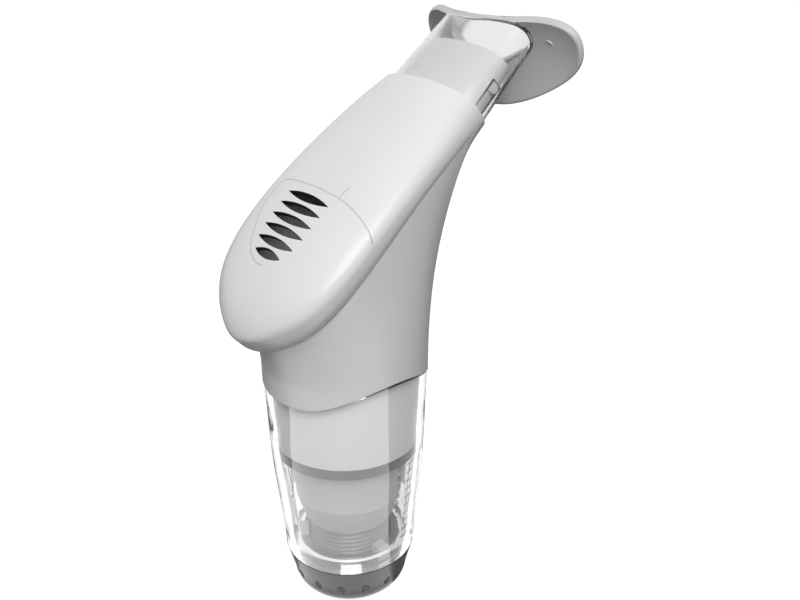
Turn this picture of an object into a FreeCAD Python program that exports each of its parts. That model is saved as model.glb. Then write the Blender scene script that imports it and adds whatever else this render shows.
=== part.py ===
import FreeCAD, Part
import math
import os

# Inspiratory muscle trainer. Millimetres. +Z runs up the chamber axis, the origin is the
# centre of the knob's flat foot, -Y is the vented front and +Y the side the mouth is on.

V = FreeCAD.Vector

# Load knob
KNOB_RIM_R = 19.2            # top rim
KNOB_RIM_Z = 13.7            # height of the rim
KNOB_DRAFT = 0.26            # radius lost per mm going down
KNOB_ROUND = 5.17            # bottom edge radius
KNOB_WALL = 2.4
KNOB_FLOOR = 3.0
DIMPLE_COUNT = 15
DIMPLE_R = 3.2
DIMPLE_DEPTH = 0.75
DIMPLE_Z = 7.6
DIMPLE_LENGTH = 6.4
DIMPLE_BALL = 1.6            # radius of the dimple's round foot
DIMPLE_START = 2.0           # turn of the first dimple from +X, in degrees
HUB_R = 9.6                  # socket that the spindle is pressed into
HUB_TOP = 12.6

# Spindle
SPINDLE_R = 11.8
SPINDLE_BORE = 8.2
SPINDLE_FOOT_Z = 12.6
SPINDLE_TOP = 57.0
SPIGOT_R = 6.0
SPIGOT_FOOT_Z = 6.0
WASHER_R = 15.0
WASHER_T = 1.0
SCREW_SHANK_R = 1.6
SCREW_HEAD_R = 3.1
SCREW_HEAD_T = 2.2
SCREW_LENGTH = 11.0
FOOT_PAD_R = 6.2             # disc that closes the recess over the screw
FOOT_PAD_T = 1.2

# Clear chamber
CHAMBER_FOOT = 14.0
CHAMBER_OUTER = [(14.0, 19.2), (19.2, 19.45), (27.2, 20.15), (34.0, 20.8), (41.2, 21.5),
                 (48.2, 21.9), (55.0, 22.15), (61.0, 22.3), (66.0, 22.45), (78.0, 22.7)]
CHAMBER_INNER = [(17.6, 17.2), (27.0, 18.0), (34.0, 18.7), (41.0, 19.4), (48.0, 19.85),
                 (55.0, 20.1), (61.0, 20.3), (67.0, 20.45), (78.0, 20.5)]
CHAMBER_HOLE_R = 15.3
CHAMBER_FLOOR_TOP = 17.6
CHAMBER_TOP = 78.0
NECK_R = 21.65               # where the collar skirt goes over the chamber
RAIL_W = 1.6
RAIL_R = 16.45               # inner face of the guide rails
RAIL_TOP = 46.0
RAIL_ANGLES = (-48.0, -32.0, 132.0, 148.0)   # azimuth from the front

# Collar of the housing and its wavy lower edge, as distance from the mirror plane and height
COLLAR_R = 22.9
COLLAR_BORE = 21.75
COLLAR_TOP = 75.0            # where the housing starts to flare
WAVE = [(0.0, 69.1), (7.6, 69.3), (10.4, 69.5), (14.0, 70.3), (18.5, 72.5), (21.6, 74.7), (24.5, 77.2)]
WAVE_GAP = 0.15

# Mouth axis: a point on it, its slope, and the stations of the head measured along it
AXIS_Y = 36.65
AXIS_Z = 145.5
AXIS_SLOPE = 41.0
RIM_S = -7.8
NOSE_S = -89.1
# station, half width, rise of the ridge over the widest line, drop below it, height of the widest line
HEAD = [(-7.8, 18.0, 9.5, 9.5, -0.3), (-15.0, 19.5, 8.95, 8.6, 1.25), (-25.0, 21.19, 8.19, 8.3, 2.95),
        (-35.0, 22.33, 7.75, 8.7, 4.16), (-45.0, 23.14, 7.48, 9.4, 4.95), (-55.0, 23.39, 7.28, 10.5, 5.33),
        (-65.0, 22.69, 6.95, 11.5, 5.28), (-72.0, 21.04, 6.45, 11.5, 5.0), (-78.0, 17.97, 5.64, 10.7, 4.6),
        (-82.0, 14.3, 4.75, 9.7, 4.26), (-85.0, 10.5, 3.75, 8.6, 3.95), (-87.2, 6.6, 2.7, 7.4, 3.7),
        (-88.5, 3.4, 1.6, 5.4, 3.55), (-89.0, 0.9, 0.6, 3.6, 3.46)]
HEAD_POWER = 2.4
# seam between the cover and the housing, y and z
SEAM = [(46.0, 143.6), (33.0, 137.8), (26.5, 134.3), (17.9, 129.0), (9.6, 123.3), (1.8, 117.0), (-5.6, 110.3),
        (-12.7, 103.2), (-17.3, 97.9), (-21.2, 93.1), (-24.9, 88.3), (-27.3, 84.9), (-33.0, 76.6)]
SEAM_GAP = 0.15              # each side of the seam line
COVER_WALL = 2.0
HOUSING_WALL = 2.0
# Vents: station along the mouth axis, half length, half height
VENTS = [(-50.8, 8.7, 1.2), (-54.15, 8.7, 1.2), (-57.6, 8.7, 1.2), (-60.95, 8.6, 1.2), (-64.45, 7.9, 1.25),
         (-67.8, 5.6, 1.3)]

# Spring sleeve and the indicator band at its foot
SLEEVE_OUTER = [(50.5, 19.6), (55.0, 19.9), (61.0, 20.1), (67.0, 20.25), (77.9, 20.3)]
SLEEVE_WALL = 1.6
SLEEVE_RAIL_TOP = 72.0       # guide rails go on inside the sleeve
BAND_LOW = 47.4
BAND_TOP = 50.4
BAND_R = 19.6
BAND_T = 1.5

# Valve plate across the top of the chamber
PLATE_LOW = 78.2
PLATE_T = 2.0
PLATE_R = 20.75
PORT_R = 9.5
SEAT_R = 11.0
SEAT_DROP = 0.3
CHIMNEY_R = 11.6
CHIMNEY_TOP = 85.0
REAR_PORT_Y = 16.3
REAR_PORT_X = 9.0
REAR_PORT_D = 2.5
GASKET_T = 0.9

# Mouth tube: y and z of the centre, slope, half width and half depth of the outside
TUBE = [(16.3, 80.4, 90.0, 10.3, 3.8), (15.9, 90.0, 89.0, 10.8, 4.2), (15.5, 101.0, 84.0, 11.8, 4.8),
        (16.0, 112.0, 72.0, 12.8, 5.2), (18.6, 123.2, 56.0, 13.8, 5.9), (24.4, 133.0, 44.0, 14.9, 6.6),
        (31.31, 139.74, 41.0, 15.4, 6.75), (37.2, 144.86, 41.0, 14.8, 6.7), (43.17, 150.04, 41.0, 14.2, 6.0)]
TUBE_WALL = 1.4
TUBE_POWER = 2.2
TUBE_CENTRE = -0.85          # height of the tube's centre over the mouth axis
PEG_S = 0.2                  # raised peg on the side of the tube
PEG_R = 1.3
PEG_RISE = 0.75

# Exhale valve on the front wall of the mouth tube
EXHALE_Y = 15.9
EXHALE_Z = 111.0
EXHALE_TILT = 15.0           # upward tilt of its axis, which points to the front
BOSS_R = 6.6
BOSS_END = 7.8
EXHALE_PORT_R = 4.2
EXHALE_SEAT_R = 6.4
EXHALE_SEAT_T = 0.8
FLAP_GAP = 0.3
FLAP_R = 5.8
FLAP_T = 0.8
FLAP_LIFT = 2.0
CAGE_R = 7.6
CAGE_WALL = 0.9
CAGE_ROOF = 1.0
CAGE_SKIRT = 1.6             # how far it goes over the boss

# Spring carriage, spring and inhale valve
CARRIAGE_R = 15.7
CARRIAGE_LOW = 24.3
CARRIAGE_NECK_R = 12.9
CARRIAGE_SHOULDER = 33.0
CARRIAGE_TOP = 46.5
CARRIAGE_FIT = 0.07          # running fit on the spindle
CARRIAGE_LEDGE = 28.5
CARRIAGE_WALL = 1.4
EAR_R = 16.95
EAR_W = 2.4
EAR_LOW = 33.0
EAR_H = 7.0
EAR_ANGLES = (-40.0, 140.0)
SPRING_R = 12.95
SPRING_WIRE = 0.8
SPRING_TURNS = 8
SPRING_SIDES = 8             # flats of the wire's section
POPPET_LOW = 73.5
POPPET_R = 13.0
POPPET_T = 2.4
STEM_R = 2.5
STEM_LOW = 50.0
SEAL_R = 12.4
SEAL_T = 1.6
BUSH_LENGTH = 5.0
BUSH_GAP = 0.05

# Knob details
RING_R = 16.8
RING_LOW = 12.5
RING_TOP = 13.7
COLLAR_SEAT_R = 14.9         # dark seat that stands in the hole of the chamber floor
COLLAR_SEAT_BORE = 12.5
COLLAR_SEAT_TOP = 16.6
LUG_COUNT = 3
LUG_W = 3.4
LUG_R = 16.1
LUG_LOW = 14.6
LUG_TOP = 18.9
LUG_GAP = 0.05               # slot over the hook's width, each side

# Mouthpiece
SLEEVE_START = -7.4
SLEEVE_SECTIONS = [(-7.4, 17.0, 9.1), (0.0, 16.7, 8.8), (7.0, 16.4, 8.4), (18.0, 16.1, 8.0)]
SLEEVE_BORES = [(-7.4, 15.75, 7.75), (0.0, 15.35, 7.3), (8.0, 14.75, 6.6), (18.0, 14.5, 6.5)]
# Lip shield: its inner face stands at SHIELD_S on the line SHIELD_N, wraps round the face with the
# square of x, flattens at the wings with the fourth power, leans with n and is dished with its square
SHIELD_S = 14.2
SHIELD_N = -1.56
SHIELD_WRAP = 0.0149
SHIELD_WING = 0.0000094
SHIELD_LEAN = 0.246
SHIELD_DISH = 0.0198
SHIELD_X = 29.1              # half width
SHIELD_UP = 9.1              # height over SHIELD_N
SHIELD_DOWN = 15.7
SHIELD_POWER = 2.3
SHIELD_T = 2.2
TAB_X = 17.0
TAB_W = 8.0
TAB_T = 2.6
TAB_REACH = 10.0
TAB_ROUND = 1.2
LOOP_POINTS = 48             # points of each closed outline that a surface is drawn through

SLOPE = math.radians(AXIS_SLOPE)
AXIS_POINT = V(0, AXIS_Y, AXIS_Z)
AXIS_DIR = V(0, math.cos(SLOPE), math.sin(SLOPE))
AXIS_UP = V(0, -math.sin(SLOPE), math.cos(SLOPE))
FAR = 400.0


def on_axis(s, x, n):
    """Point at station s along the mouth axis, x to the side and n above the axis."""
    return AXIS_POINT + AXIS_DIR * s + AXIS_UP * n + V(x, 0, 0)


def signed_power(value, power):
    return math.copysign(abs(value) ** power, value)


def closed_wire(points):
    curve = Part.BSplineCurve()
    curve.interpolate(Points=points, PeriodicFlag=True)
    return Part.Wire(curve.toShape())


def open_edge(points):
    curve = Part.BSplineCurve()
    curve.interpolate(points)
    return curve.toShape()


def oval_points(s, half_x, up, down, centre, power, count):
    points = []
    for k in range(count):
        t = 2 * math.pi * k / count
        x = half_x * signed_power(math.cos(t), 2 / power)
        n = signed_power(math.sin(t), 2 / power)
        n = centre + n * (up if n > 0 else down)
        points.append(on_axis(s, x, n))
    return points


def head_station(row, inset):
    """Section of the head moved inwards, by width along the sides and by station at the nose."""
    s, half_x, up, down, centre = row
    nose = ((RIM_S - s) / (RIM_S - NOSE_S)) ** 4
    cut = inset * (1 - nose)
    return s + inset * nose, half_x - cut, up - cut, down - cut, centre


def head_solid(inset, lead):
    """The head as a closed loft; lead makes it run past the rim so that it cuts cleanly."""
    rows = [head_station(row, inset) for row in HEAD]
    if lead:
        rows.insert(0, (RIM_S + lead,) + rows[0][1:])
    wires = [closed_wire(oval_points(*row, HEAD_POWER, LOOP_POINTS)) for row in rows]
    return Part.makeLoft(wires, True)


def seam_tool(shift, above):
    """Solid on one side of the seam surface, the seam moved up by shift."""
    low = [V(-FAR / 4, y, z + shift) for y, z in SEAM]
    edge = open_edge(low)
    first, last = low[0], low[-1]
    level = FAR if above else -FAR
    a = V(first.x, FAR, first.z + (FAR - first.y) * 0.4)
    b = V(first.x, FAR, level)
    c = V(first.x, -FAR, level)
    d = V(first.x, -FAR, last.z - (FAR + last.y) * 1.4)
    wire = Part.Wire([edge, Part.makeLine(last, d), Part.makeLine(d, c), Part.makeLine(c, b),
                      Part.makeLine(b, a), Part.makeLine(a, first)])
    return Part.Face(wire).extrude(V(FAR / 2, 0, 0))


def seam_outline(inset):
    """Points of the seam on the head by azimuth from the front, for the +X half."""
    low = [V(-FAR / 4, y, z) for y, z in SEAM]
    sheet = open_edge(low).extrude(V(FAR / 2, 0, 0))
    cut = head_solid(inset, 6.0).section(sheet)
    points = []
    for edge in cut.Edges:
        for p in edge.discretize(200):
            if p.x >= -0.001:
                points.append((math.atan2(max(p.x, 0.0), -p.y), p))
    points.sort(key=lambda item: item[0])
    return points


def at_azimuth(outline, angle):
    for (a0, p0), (a1, p1) in zip(outline, outline[1:]):
        if a0 <= angle <= a1 and a1 > a0:
            return p0 + (p1 - p0) * ((angle - a0) / (a1 - a0))
    return outline[0][1] if angle < outline[0][0] else outline[-1][1]


# How the housing rises from the collar to the seam: handle lengths by azimuth in degrees
FOOT_HANDLE = [(0.0, 6.0), (40.0, 9.0), (70.0, 18.0), (110.0, 30.0), (150.0, 60.0), (180.0, 70.0)]
TOP_HANDLE = [(0.0, 8.0), (40.0, 10.0), (70.0, 14.0), (110.0, 24.0), (150.0, 62.0), (180.0, 80.0)]
# direction in which the surface reaches the seam, as y and z
TOP_LEAN = [(0.0, -0.83, 0.56), (30.0, -0.7, 0.7), (55.0, -0.35, 0.93), (80.0, 0.0, 1.0), (120.0, 0.1, 0.99),
            (145.0, 0.45, 0.89), (156.0, 0.755, 0.656), (180.0, 0.755, 0.656)]
HERMITE_STEPS = 9
RUN_ON = 4.0


def table(rows, x):
    for low, high in zip(rows, rows[1:]):
        if low[0] <= x <= high[0]:
            t = (x - low[0]) / (high[0] - low[0])
            return [a + (b - a) * t for a, b in zip(low[1:], high[1:])]
    return list(rows[-1][1:])


def housing_solid(inset, foot_r):
    """Closed solid that sweeps from the collar circle to the seam and the lower half of the rim."""
    outline = seam_outline(inset)
    rim_row = head_station(HEAD[0], inset)
    inner = [(a, p) for a, p in outline if (p - AXIS_POINT).dot(AXIS_DIR) <= RIM_S]
    corner_angle, corner = inner[-1]
    start = math.asin(max(-1.0, min(1.0, signed_power(((corner - AXIS_POINT).dot(AXIS_UP) - rim_row[4])
                                                      / rim_row[3], HEAD_POWER / 2))))
    loops = [[], [], [], []]
    span = HERMITE_STEPS
    loops += [[] for _ in range(span + 2)]
    tops, leans = [], []
    for j in range(LOOP_POINTS):
        angle = 2 * math.pi * j / LOOP_POINTS - math.pi
        side = abs(angle)
        sign = -1.0 if angle < 0 else 1.0
        if side <= corner_angle:
            top = at_azimuth(inner, side)
        else:
            f = (side - corner_angle) / (math.pi - corner_angle)
            t = start + (-math.pi / 2 - start) * f
            x = rim_row[1] * signed_power(math.cos(t), 2 / HEAD_POWER)
            n = rim_row[4] + rim_row[3] * signed_power(math.sin(t), 2 / HEAD_POWER)
            top = on_axis(RIM_S, x, n)
        degrees = math.degrees(side)
        ly, lz = table(TOP_LEAN, degrees)
        lean = V(0, ly, lz).normalize()
        top = V(sign * top.x, top.y, top.z)
        foot = V(sign * foot_r * math.sin(side), -foot_r * math.cos(side), COLLAR_TOP)
        for k, z in enumerate((COLLAR_TOP - 12.0, COLLAR_TOP - 8.0, COLLAR_TOP - 4.0)):
            loops[k].append(V(foot.x, foot.y, z))
        loops[3].append(foot)
        t0 = V(0, 0, table(FOOT_HANDLE, degrees)[0])
        t1 = lean * table(TOP_HANDLE, degrees)[0]
        for k in range(1, span + 1):
            v = k / span
            h00 = 2 * v ** 3 - 3 * v ** 2 + 1
            h10 = v ** 3 - 2 * v ** 2 + v
            h01 = -2 * v ** 3 + 3 * v ** 2
            h11 = v ** 3 - v ** 2
            loops[3 + k].append(foot * h00 + t0 * h10 + top * h01 + t1 * h11)
        loops[4 + span].append(top + lean * (RUN_ON / 2))
        loops[5 + span].append(top + lean * RUN_ON)
    wires = [closed_wire(points) for points in loops]
    wall = Part.makeLoft(wires, False)
    lid = []
    for p in loops[-1]:
        q = p - AXIS_POINT
        lid.append(on_axis(q.dot(AXIS_DIR), q.x, 26.0))
    lid_wire = closed_wire(lid)
    skirt = Part.makeLoft([wires[-1], lid_wire], False, True)
    faces = wall.Faces + skirt.Faces + [Part.Face(wires[0]), Part.Face(lid_wire)]
    shell = Part.Shell(faces)
    if not shell.isClosed():
        shell.sewShape()
    return Part.Solid(shell)


def rim_tool():
    """Everything beyond the rim plane."""
    box = Part.makeBox(FAR, FAR, FAR, V(-FAR / 2, 0, -FAR / 2))
    box.rotate(V(0, 0, 0), V(1, 0, 0), AXIS_SLOPE)
    box.translate(AXIS_POINT + AXIS_DIR * RIM_S)
    return box


def turned(profile):
    """Solid of revolution about Z from radius and height pairs."""
    wire = Part.makePolygon([V(r, 0, z) for r, z in profile + profile[:1]])
    return Part.Face(wire).revolve(V(0, 0, 0), V(0, 0, 1), 360)


def turned_curve(rows, foot, top, extra):
    """Solid of revolution below a smooth outer curve of height and radius rows."""
    curve = open_edge([V(r, 0, z) for z, r in rows])
    low, high = rows[0], rows[-1]
    corners = [V(high[1], 0, high[0]), V(high[1], 0, top + extra), V(0, 0, top + extra), V(0, 0, foot - extra),
               V(low[1], 0, foot - extra), V(low[1], 0, low[0])]
    kept = [corners[0]]
    for p in corners[1:]:
        if (p - kept[-1]).Length > 1e-6:
            kept.append(p)
    edges = [curve] + [Part.makeLine(a, b) for a, b in zip(kept, kept[1:])]
    return Part.Face(Part.Wire(edges)).revolve(V(0, 0, 0), V(0, 0, 1), 360)


def ring(inner, outer, low, high):
    return Part.makeCylinder(outer, high - low, V(0, 0, low)).cut(
        Part.makeCylinder(inner, high - low + 2, V(0, 0, low - 1)))


def around(shape, angle):
    copy = shape.copy()
    copy.rotate(V(0, 0, 0), V(0, 0, 1), angle)
    return copy


def wave_tool(shift):
    """Everything below the wavy lower edge of the collar, moved up by shift."""
    right = [V(x, -FAR / 8, z + shift) for x, z in WAVE]
    left = [V(-p.x, p.y, p.z) for p in reversed(right[1:])]
    edge = open_edge(left + right)
    a, b = left[0], right[-1]
    corners = [b, V(FAR, b.y, b.z), V(FAR, b.y, -FAR), V(-FAR, b.y, -FAR), V(-FAR, b.y, a.z), a]
    lines = [Part.makeLine(p, q) for p, q in zip(corners, corners[1:])]
    return Part.Face(Part.Wire([edge] + lines)).extrude(V(0, FAR / 4, 0))


def handle_cover():
    shell = head_solid(0.0, 0).cut(head_solid(COVER_WALL, 6.0)).common(seam_tool(SEAM_GAP, True))
    for s, half_x, half_s in VENTS:
        shell = shell.cut(vent_slot(s, half_x, half_s))
    return shell


def vent_slot(s, half_x, half_s):
    """Lens-shaped slot through the cover, square to the mouth axis."""
    left, right = on_axis(s, -half_x, 0), on_axis(s, half_x, 0)
    upper = Part.Arc(left, on_axis(s + half_s, 0, 0), right).toShape()
    lower = Part.Arc(right, on_axis(s - half_s, 0, 0), left).toShape()
    return Part.Face(Part.Wire([upper, lower])).extrude(AXIS_UP * 25)


def lower_housing():
    inside = housing_solid(HOUSING_WALL, COLLAR_R - HOUSING_WALL)
    shell = housing_solid(0.0, COLLAR_R).cut(inside)
    shell = shell.common(seam_tool(-SEAM_GAP, False)).cut(rim_tool())
    shell = shell.cut(wave_tool(0.0))
    return shell.cut(Part.makeCylinder(COLLAR_BORE, CHAMBER_TOP + GASKET_T - 50, V(0, 0, 50)))


def chamber():
    outside = turned_curve(CHAMBER_OUTER, CHAMBER_FOOT, CHAMBER_TOP, 0)
    inside = turned_curve(CHAMBER_INNER, CHAMBER_FLOOR_TOP, CHAMBER_TOP, 0)
    inside = inside.fuse(Part.makeCylinder(CHAMBER_INNER[-1][1], 2, V(0, 0, CHAMBER_TOP - 1)))
    rails = []
    for angle in RAIL_ANGLES:
        rail = Part.makeBox(4, RAIL_W, RAIL_TOP - CHAMBER_FLOOR_TOP + 0.5,
                            V(RAIL_R, -RAIL_W / 2, CHAMBER_FLOOR_TOP - 0.5))
        rails.append(around(rail, angle - 90))
    body = outside.cut(inside)
    body = body.fuse([rail.common(outside) for rail in rails])
    body = body.cut(Part.makeCylinder(CHAMBER_HOLE_R, 10, V(0, 0, CHAMBER_FOOT - 5)))
    band = ring(NECK_R, 30, 60, CHAMBER_TOP + 1).cut(wave_tool(-WAVE_GAP))
    return body.cut(band)


def spring_sleeve():
    foot, top = SLEEVE_OUTER[0][0], SLEEVE_OUTER[-1][0]
    outside = turned_curve(SLEEVE_OUTER, foot, top, 0)
    bore = turned_curve([(z, r - SLEEVE_WALL) for z, r in SLEEVE_OUTER], foot, top, 0)
    bore = bore.fuse(Part.makeCylinder(SLEEVE_OUTER[0][1] - SLEEVE_WALL, 2, V(0, 0, foot - 1)))
    bore = bore.fuse(Part.makeCylinder(SLEEVE_OUTER[-1][1] - SLEEVE_WALL, 2, V(0, 0, top - 1)))
    rails = []
    for angle in RAIL_ANGLES:
        rail = Part.makeBox(4, RAIL_W, SLEEVE_RAIL_TOP - foot, V(RAIL_R, -RAIL_W / 2, foot))
        rails.append(around(rail, angle - 90).common(outside))
    return outside.cut(bore).fuse(rails)


def indicator_band():
    return ring(BAND_R - BAND_T, BAND_R, BAND_LOW, BAND_TOP)


def valve_plate():
    top = PLATE_LOW + PLATE_T
    plate = Part.makeCylinder(PLATE_R, PLATE_T, V(0, 0, PLATE_LOW))
    plate = plate.fuse([Part.makeCylinder(SEAT_R, SEAT_DROP, V(0, 0, PLATE_LOW - SEAT_DROP)),
                        Part.makeCylinder(CHIMNEY_R, CHIMNEY_TOP - top, V(0, 0, top))])
    plate = plate.cut(Part.makeCylinder(PORT_R, 20, V(0, 0, PLATE_LOW - 5)))
    slot = Part.Face(section_wire(REAR_PORT_Y, PLATE_LOW - 1, 90.0, REAR_PORT_X, REAR_PORT_D))
    return plate.cut(slot.extrude(V(0, 0, PLATE_T + 2)))


def chamber_gasket():
    return ring(PLATE_R + 0.1, NECK_R, CHAMBER_TOP, CHAMBER_TOP + GASKET_T)


def section_wire(y, z, slope, half_x, half_d):
    """Closed oval at a point of the mirror plane, square to the given slope."""
    a = math.radians(slope)
    up = V(0, -math.sin(a), math.cos(a))
    points = []
    for k in range(LOOP_POINTS // 2):
        t = 4 * math.pi * k / LOOP_POINTS
        x = half_x * signed_power(math.cos(t), 2 / TUBE_POWER)
        points.append(V(x, y, z) + up * (half_d * signed_power(math.sin(t), 2 / TUBE_POWER)))
    return closed_wire(points)


def exhale_frame():
    a = math.radians(EXHALE_TILT)
    return V(0, EXHALE_Y, EXHALE_Z), V(0, -math.cos(a), math.sin(a))


def exhale_disc(radius, low, high):
    centre, out = exhale_frame()
    return Part.makeCylinder(radius, high - low, centre + out * low, out)


def bent_oval(rows):
    """Oval duct swept through the sections along the line of their centres."""
    spine = Part.Wire(open_edge([V(0, row[0], row[1]) for row in rows]))
    return spine.makePipeShell([section_wire(*row) for row in rows], True, False)


def run_on(row, length):
    """Section of a duct moved along its own slope."""
    a = math.radians(row[2])
    return (row[0] + length * math.cos(a), row[1] + length * math.sin(a)) + row[2:]


def mouth_tube():
    inner = [(y, z, a, x - TUBE_WALL, d - TUBE_WALL) for y, z, a, x, d in TUBE]
    inside = bent_oval([run_on(inner[0], -2.0)] + inner + [run_on(inner[-1], 2.0)])
    body = bent_oval(TUBE).fuse(exhale_disc(BOSS_R, 0, BOSS_END))
    pegs = []
    for side in (-1, 1):
        base = on_axis(PEG_S, side * (TUBE[-2][3] - 0.5), TUBE_CENTRE)
        pegs.append(Part.makeCylinder(PEG_R, 0.9 + PEG_RISE, base, V(side, 0, 0)))
    return body.fuse(pegs).cut([inside, exhale_disc(EXHALE_PORT_R, 0, BOSS_END + 1)])


def exhale_seat():
    low, high = BOSS_END, BOSS_END + EXHALE_SEAT_T
    return exhale_disc(EXHALE_SEAT_R, low, high).cut(exhale_disc(EXHALE_PORT_R, low - 1, high + 1))


def exhale_flap():
    low = BOSS_END + EXHALE_SEAT_T + FLAP_GAP
    return exhale_disc(FLAP_R, low, low + FLAP_T)


def exhale_cage():
    low = BOSS_END - CAGE_SKIRT
    roof = BOSS_END + EXHALE_SEAT_T + FLAP_GAP + FLAP_T + FLAP_LIFT + FLAP_GAP
    cage = exhale_disc(CAGE_R, low, roof + CAGE_ROOF)
    cage = cage.cut([exhale_disc(BOSS_R, low - 1, BOSS_END), exhale_disc(CAGE_R - CAGE_WALL, low - 1, roof)])
    centre, out = exhale_frame()
    windows = []
    for k in range(2):
        window = Part.makeBox(30, 6, roof - BOSS_END - 1, V(-15, -3, 0))
        window.rotate(V(0, 0, 0), V(0, 0, 1), 45 + 90 * k)
        window.rotate(V(0, 0, 0), V(1, 0, 0), 90 - EXHALE_TILT)
        window.translate(centre + out * (BOSS_END + 0.6))
        windows.append(window)
    return cage.cut(windows + [exhale_disc(2.2, roof - 1, roof + 3)])


def load_knob():
    foot_r = KNOB_RIM_R - KNOB_DRAFT * (KNOB_RIM_Z - KNOB_ROUND) - KNOB_ROUND
    side = KNOB_RIM_R - KNOB_DRAFT * (KNOB_RIM_Z - KNOB_ROUND)
    arc_mid = V(foot_r + KNOB_ROUND * math.sin(math.pi / 4), 0, KNOB_ROUND * (1 - math.cos(math.pi / 4)))
    inner_r = KNOB_RIM_R - KNOB_WALL
    points = [V(side, 0, KNOB_ROUND), V(KNOB_RIM_R, 0, KNOB_RIM_Z), V(RING_R + 0.05, 0, KNOB_RIM_Z),
              V(RING_R + 0.05, 0, RING_LOW), V(inner_r - 0.9, 0, RING_LOW), V(inner_r - 2.2, 0, KNOB_FLOOR + 1.5),
              V(COLLAR_SEAT_R, 0, KNOB_FLOOR), V(COLLAR_SEAT_R, 0, KNOB_FLOOR), V(0, 0, KNOB_FLOOR),
              V(0, 0, 0), V(foot_r, 0, 0)]
    arc = Part.Arc(V(foot_r, 0, 0), arc_mid, V(side, 0, KNOB_ROUND)).toShape()
    lines = [Part.makeLine(a, b) for a, b in zip(points, points[1:]) if (a - b).Length > 1e-6]
    body = Part.Face(Part.Wire([arc] + lines)).revolve(V(0, 0, 0), V(0, 0, 1), 360)
    body = body.fuse([ring(COLLAR_SEAT_BORE, COLLAR_SEAT_R, KNOB_FLOOR - 0.5, COLLAR_SEAT_TOP),
                      Part.makeCylinder(HUB_R, HUB_TOP - KNOB_FLOOR + 0.5, V(0, 0, KNOB_FLOOR - 0.5))])
    body = body.cut([Part.makeCylinder(SPIGOT_R + 0.02, 20, V(0, 0, SPIGOT_FOOT_Z)),
                     Part.makeCylinder(FOOT_PAD_R + 0.05, FOOT_PAD_T + 0.05, V(0, 0, 0)),
                     Part.makeCylinder(SCREW_HEAD_R + 0.2, SCREW_HEAD_T + 0.1, V(0, 0, FOOT_PAD_T)),
                     Part.makeCylinder(SCREW_SHANK_R + 0.05, 20, V(0, 0, 0))])
    slots = [around(lug_slot(), 360 * k / LUG_COUNT) for k in range(LUG_COUNT)]
    turns = [DIMPLE_START + 360 * k / DIMPLE_COUNT for k in range(DIMPLE_COUNT)]
    return body.cut(slots + [around(dimple(), turn) for turn in turns])


def dimple():
    """Teardrop pressed into the knob's side with its point up."""
    ball = DIMPLE_BALL
    low = DIMPLE_Z - DIMPLE_LENGTH / 2 + ball
    surface = KNOB_RIM_R - KNOB_DRAFT * (KNOB_RIM_Z - low)
    drop = Part.makeSphere(ball).fuse(Part.makeCone(ball, 0.15, DIMPLE_LENGTH - ball))
    drop.rotate(V(0, 0, 0), V(0, 1, 0), math.degrees(math.atan(KNOB_DRAFT)))
    drop.translate(V(surface + ball - DIMPLE_DEPTH, 0, low))
    return drop


def lug_slot():
    """Slot through the collar seat for one hook."""
    width = LUG_W + 2 * LUG_GAP
    return Part.makeBox(COLLAR_SEAT_R - COLLAR_SEAT_BORE + 2, width, COLLAR_SEAT_TOP - LUG_LOW + 1,
                        V(COLLAR_SEAT_BORE - 1, -width / 2, LUG_LOW - LUG_GAP))


def snap_lugs():
    """Hooks that hold the knob in the chamber floor."""
    post = Part.makeBox(COLLAR_SEAT_R - COLLAR_SEAT_BORE - 0.1, LUG_W, LUG_TOP - LUG_LOW,
                        V(COLLAR_SEAT_BORE, -LUG_W / 2, LUG_LOW))
    low = CHAMBER_FLOOR_TOP + 0.3
    hook = Part.makeBox(LUG_R - COLLAR_SEAT_BORE, LUG_W, LUG_TOP - low, V(COLLAR_SEAT_BORE, -LUG_W / 2, low))
    lug = post.fuse(hook).removeSplitter()
    edge = [e for e in lug.Edges if e.BoundBox.XMin > LUG_R - 0.01 and e.BoundBox.ZMin > LUG_TOP - 0.01]
    lug = lug.makeChamfer(0.7, edge)
    return Part.makeCompound([around(lug, 360 * k / LUG_COUNT) for k in range(LUG_COUNT)])


def spindle():
    body = Part.makeCylinder(SPINDLE_R, SPINDLE_TOP - SPINDLE_FOOT_Z, V(0, 0, SPINDLE_FOOT_Z))
    body = body.makeChamfer(0.8, [e for e in body.Edges if e.BoundBox.ZMin > SPINDLE_TOP - 0.01])
    body = body.fuse(Part.makeCylinder(SPIGOT_R, SPINDLE_FOOT_Z - SPIGOT_FOOT_Z, V(0, 0, SPIGOT_FOOT_Z)))
    return body.cut([Part.makeCylinder(SPINDLE_BORE, SPINDLE_TOP, V(0, 0, SPINDLE_FOOT_Z + 5)),
                     Part.makeCylinder(SCREW_SHANK_R + 0.02, SCREW_LENGTH, V(0, 0, SPIGOT_FOOT_Z - 1))])


def guide_bush():
    return ring(STEM_R + BUSH_GAP, SPINDLE_BORE - 0.02, SPINDLE_TOP - BUSH_LENGTH, SPINDLE_TOP)


def thrust_ring():
    return ring(COLLAR_SEAT_R + 0.1, RING_R, RING_LOW, RING_TOP)


def retaining_screw():
    head = Part.makeCylinder(SCREW_HEAD_R, SCREW_HEAD_T, V(0, 0, FOOT_PAD_T + 0.1))
    return head.fuse(Part.makeCylinder(SCREW_SHANK_R, SCREW_LENGTH, V(0, 0, FOOT_PAD_T + 0.1)))


def foot_pad():
    return Part.makeCylinder(FOOT_PAD_R, FOOT_PAD_T, V(0, 0, 0))


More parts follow.
